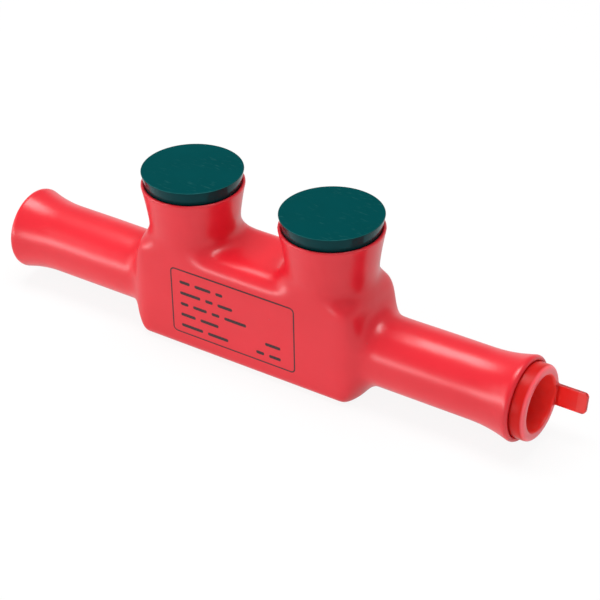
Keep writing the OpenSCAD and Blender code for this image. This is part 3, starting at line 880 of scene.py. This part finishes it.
plated, tree, shader, place = new_material("aluminium, turned and tin-plated")
cloud = add_node(tree, "TexNoise", {"Scale": 1 / (TARNISH_MM * MM), "Detail": 4.0}, {"Vector": place})
tones = add_node(tree, "Mix", {"A": linear(SCREW_TARNISH), "B": linear(SCREW_GREY)}, {"Factor": cloud},
                 data_type="RGBA")
folded = add_node(tree, "VectorMath", links={0: place}, operation="ABSOLUTE")
from_screw = add_node(tree, "VectorMath", {1: (WELL_X * MM, 0, 0)}, {0: folded}, operation="SUBTRACT")
tool_rings = add_node(tree, "TexWave", {"Scale": math.pi / 10 / (TOOL_RING_MM * MM), "Distortion": 0.4},
                      {"Vector": from_screw}, wave_type="RINGS", rings_direction="Z")
relief = add_node(tree, "Bump", {"Distance": TOOL_RING_DEEP * MM}, {"Height": tool_rings.outputs["Fac"]})
gloss = add_node(tree, "MapRange", {TO: SCREW_ROUGHNESS}, {"Value": cloud})
set_inputs(shader, {"Metallic": 1.0}, {"Base Color": tones, "Roughness": gloss, "Normal": relief})

# %% [markdown]
# ## Set screws
# The screw is three-quarter inch, with sixteen turns of thread to the inch. A bump map could
# hint at the thread, but it shows in outline when the screw is backed out, so it is geometry:
# the radius of a fine cylinder falls and rises along a helix. A hex socket is pressed into
# its end over a drilled hole.

# %% Screws
PITCH_MM = 1.5875
THREAD_DEPTH = 0.9
FLANK = 1.25         # steepness of the thread's sides
CREST = 0.12         # what is taken off the rise, so that the crest is flat
SCREW_R = 9.525
SCREW_LOW = 26.45
SCREW_LENGTH = 16.0
SCREW_CHAMFER = 1.2
SCREW_AROUND = 96
HEX_FLATS = 7.94
HEX_DEPTH = 8.0
HEX_BEVEL = 0.45
DRILLED = (0.55, 0.3, 0.8)   # share of the hexagon, depth at the drilled hole's rim, at its point
SHARP_ANGLE = math.radians(38)

turns = np.linspace(0, 2 * math.pi, SCREW_AROUND, endpoint=False)
heights = np.linspace(0, SCREW_LENGTH, 121)
phase = np.mod(heights[:, None] / PITCH_MM - turns[None] / (2 * math.pi), 1)
groove = np.clip(np.abs(2 * phase - 1) * FLANK - CREST, 0, 1)
from_end = np.minimum(heights, SCREW_LENGTH - heights)[:, None]
shank = np.minimum(SCREW_R - THREAD_DEPTH * groove, SCREW_R - SCREW_CHAMFER + from_end)
hexagon = HEX_FLATS / 2 / np.cos(np.mod(turns, math.pi / 3) - math.pi / 6)
socket_z = SCREW_LENGTH - HEX_DEPTH
screw_outline = [(0, 0)] + list(zip(shank, heights))
screw_outline += [(hexagon + HEX_BEVEL, SCREW_LENGTH), (hexagon, SCREW_LENGTH - HEX_BEVEL)]
screw_outline += [(hexagon, socket_z), (hexagon * DRILLED[0], socket_z - DRILLED[1]),
                  (0, socket_z - DRILLED[2])]
screw_points, screw_faces = turned(screw_outline, SCREW_AROUND)
for side, sign in (("left", -1), ("right", 1)):
    screw = add_piece("socket_screw_" + side, screw_points + [sign * WELL_X, 0, SCREW_LOW], screw_faces,
                      plated, "screw_" + side)
    screw.data.set_sharp_from_angle(angle=SHARP_ANGLE)
    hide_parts("set_screw_" + side)

# %% [markdown]
# ## The block
# The block is a length of extruded aluminium bar, drilled from both ends and tin-plated so
# that copper and aluminium wire can share it. Its solid is right as it is, so it stays and
# only gets its metal: a pale satin plate with fine lines along the bar from the die.

# %% Block
BLOCK_TIN = "#cfd0d1"
BLOCK_SHADE = "#b4b5b6"
DIE_LINE_MM = 0.7    # lines of the extrusion die; usually about 0.2 mm, drawn coarser to show
DIE_LINE_DEEP = 0.015      # their depth in mm
DIE_STRETCH = (0.02, 1.0, 1.0)
BLOCK_ROUGHNESS = (0.28, 0.45)

tin, tree, shader, place = new_material("aluminium, extruded and tin-plated")
drawn = add_node(tree, "Mapping", {"Scale": DIE_STRETCH}, {"Vector": place})
lines = add_node(tree, "TexNoise", {"Scale": 1 / (DIE_LINE_MM * MM), "Detail": 3.0}, {"Vector": drawn})
tones = add_node(tree, "Mix", {"A": linear(BLOCK_SHADE), "B": linear(BLOCK_TIN)}, {"Factor": lines},
                 data_type="RGBA")
gloss = add_node(tree, "MapRange", {TO: BLOCK_ROUGHNESS}, {"Value": lines})
relief = add_node(tree, "Bump", {"Distance": DIE_LINE_DEEP * MM}, {"Height": lines})
set_inputs(shader, {"Metallic": 1.0}, {"Base Color": tones, "Roughness": gloss, "Normal": relief})
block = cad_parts["connector_body"]
block.data.materials.clear()
block.data.materials.append(tin)
print("block:", len(block.data.polygons), "faces keep their solid")

# %% [markdown]
# ## White table
# The splice lies on a white table that runs out of the picture. A matt laminate under the
# lamps takes the soft contact shadow and, on its own, would come out grey. So for rays from
# the camera, and for those that come by way of a shiny or clear surface, most of it glows at
# a strength of one, which is white. Mirrored rays see it a little dimmer, or the lower half
# of every tube would look chalky.

# %% Table
TABLE_WHITE = "#f2f2f2"
FULL_WHITE = "#ffffff"
TABLE_FIBRE_MM = 6.0     # fibres of the laminate's paper; usually about 1 mm, drawn coarser
TABLE_ROUGHNESS = (0.75, 0.95)
TABLE_SHINE = 0.1
TABLE_GLOW = 0.9     # share of the glow near the splice, where the shadow lies
GLOW_RUN = (0.15, 0.6)   # metres from the middle over which the glow becomes full
TABLE_MIRRORED = 0.82
HALF_TABLE = 4.0
TABLE_Z = -0.0002

table, tree, shader, place = new_material("white table, matt laminate")
fibre = add_node(tree, "TexNoise", {"Scale": 1 / (TABLE_FIBRE_MM * MM), "Detail": 2.0}, {"Vector": place})
rough = add_node(tree, "MapRange", {TO: TABLE_ROUGHNESS}, {"Value": fibre})
set_inputs(shader, {"Base Color": linear(TABLE_WHITE), "Specular IOR Level": TABLE_SHINE},
           {"Roughness": rough})
path = add_node(tree, "LightPath")
by_camera = path.outputs["Is Camera Ray"]
by_gloss = path.outputs["Is Glossy Ray"]
by_clear = path.outputs["Is Transmission Ray"]
seen = add_node(tree, "Math", links={0: by_camera, 1: by_gloss}, operation="MAXIMUM")
seen = add_node(tree, "Math", links={0: seen, 1: by_clear}, operation="MAXIMUM")
away = add_node(tree, "VectorMath", links={0: place}, operation="LENGTH")
whiter = add_node(tree, "MapRange", {FROM: GLOW_RUN, "To Min": TABLE_GLOW}, {"Value": away})
share = add_node(tree, "Math", links={0: seen, 1: whiter}, operation="MULTIPLY")
mirrored = add_node(tree, "Math", links={0: by_gloss, 1: by_clear}, operation="SUBTRACT", use_clamp=True)
dimmer = add_node(tree, "MapRange", {TO: (1.0, TABLE_MIRRORED)}, {"Value": mirrored})
glow = add_node(tree, "Emission", {"Color": linear(FULL_WHITE)}, {"Strength": dimmer})
blend = add_node(tree, "MixShader", links={0: share, 1: shader, 2: glow})
set_inputs(tree.nodes["Material Output"], links={"Surface": blend})

mesh = bpy.data.meshes.new("table")
corners = [(-1, -1), (1, -1), (1, 1), (-1, 1)]
mesh.from_pydata([(HALF_TABLE * i, HALF_TABLE * j, TABLE_Z) for i, j in corners], [], [(0, 1, 2, 3)])
floor = bpy.data.objects.new("table", mesh)
bpy.context.scene.collection.objects.link(floor)
floor.data.materials.append(table)
print("table:", 2 * HALF_TABLE, "metres wide")

# %% [markdown]
# ## The room
# What a shiny skin mirrors makes half its look. Near the horizon it mirrors the white table
# and its pale sweep, and above that a grey ceiling, so that its full red shows. Soft light
# for matt surfaces comes more from the front right, as from a window behind the camera, and
# the camera itself sees plain white. One image of a studio could be all three, but here the
# kind of ray chooses between three simple settings.

# %% Room
WINDOW = (0.62, -0.55, 0.56)
ROOM_LIGHT = (0.12, 0.58)    # strength of the soft light away from the window and towards it
CEILING = 0.36
SWEEP = (0.06, 0.42)     # heights over which the pale sweep turns into the ceiling

world = bpy.data.worlds.new("studio")
bpy.context.scene.world = world
world.use_nodes = True
tree = world.node_tree
tree.nodes.clear()
outlook = add_node(tree, "TexCoord").outputs["Generated"]
height = add_node(tree, "SeparateXYZ", links={"Vector": outlook}).outputs["Z"]
towards = add_node(tree, "VectorMath", {1: WINDOW}, {0: outlook}, operation="DOT_PRODUCT")
room = add_node(tree, "MapRange", {"From Min": -1.0, TO: ROOM_LIGHT}, {"Value": towards})
sweep = add_node(tree, "MapRange", {FROM: SWEEP, TO: (1.0, CEILING)}, {"Value": height})
path = add_node(tree, "LightPath")
mirrored = add_node(tree, "Math", operation="MAXIMUM",
                    links={0: path.outputs["Is Glossy Ray"], 1: path.outputs["Is Transmission Ray"]})
soft = add_node(tree, "Mix", links={"Factor": mirrored, "A": room, "B": sweep}, data_type="FLOAT")
strength = add_node(tree, "Mix", {"B": 1.0}, {"Factor": path.outputs["Is Camera Ray"], "A": soft},
                    data_type="FLOAT")
sky = add_node(tree, "Background", {"Color": linear(FULL_WHITE)}, {"Strength": strength})
add_node(tree, "OutputWorld", links={"Surface": sky})
print("world:", world.name)

# %% [markdown]
# ## Lamps
# Two long softboxes draw the two pale bands along each tube: a large one overhead, and a low
# one in front on the left. A weak square box on the left lifts the far tube. Softboxes could
# be glowing planes, but area lamps of the same size light with less noise.

# %% Lamps
LAMP_DISTANCE = 0.95
LAMPS = [            # name, direction, size in metres, watts
    ("strip_above", (-0.10, 0.06, 0.95), (0.84, 0.42), 8.6),
    ("strip_front", (-0.58, -0.80, 0.05), (0.75, 0.22), 3.0),
    ("box_left", (-0.80, -0.50, 0.30), (0.44, 0.44), 0.8),
]
OVERHEAD = 0.7       # a lamp higher than this lies along the splice, others lie level

for name, direction, size, watts in LAMPS:
    light = bpy.data.lights.new(name, "AREA")
    light.shape = "RECTANGLE"
    light.size, light.size_y = size
    light.energy = watts
    holder = bpy.data.objects.new(name, light)
    bpy.context.scene.collection.objects.link(holder)
    way = Vector(direction).normalized()
    lengthwise = Vector((1, 0, 0)) if way.z > OVERHEAD else Vector((way.y, -way.x, 0))
    upright = way.cross(lengthwise).normalized()
    holder.matrix_world = Matrix((upright.cross(way), upright, way)).transposed().to_4x4()
    holder.location = VIEW_PIVOT + LAMP_DISTANCE * way
    print(name, "at", [round(v, 2) for v in holder.location])

# %% [markdown]
# ## Finish
# The Standard view transform keeps the colours as they were written.

# %% Finish
bpy.context.scene.view_settings.view_transform = "Standard"
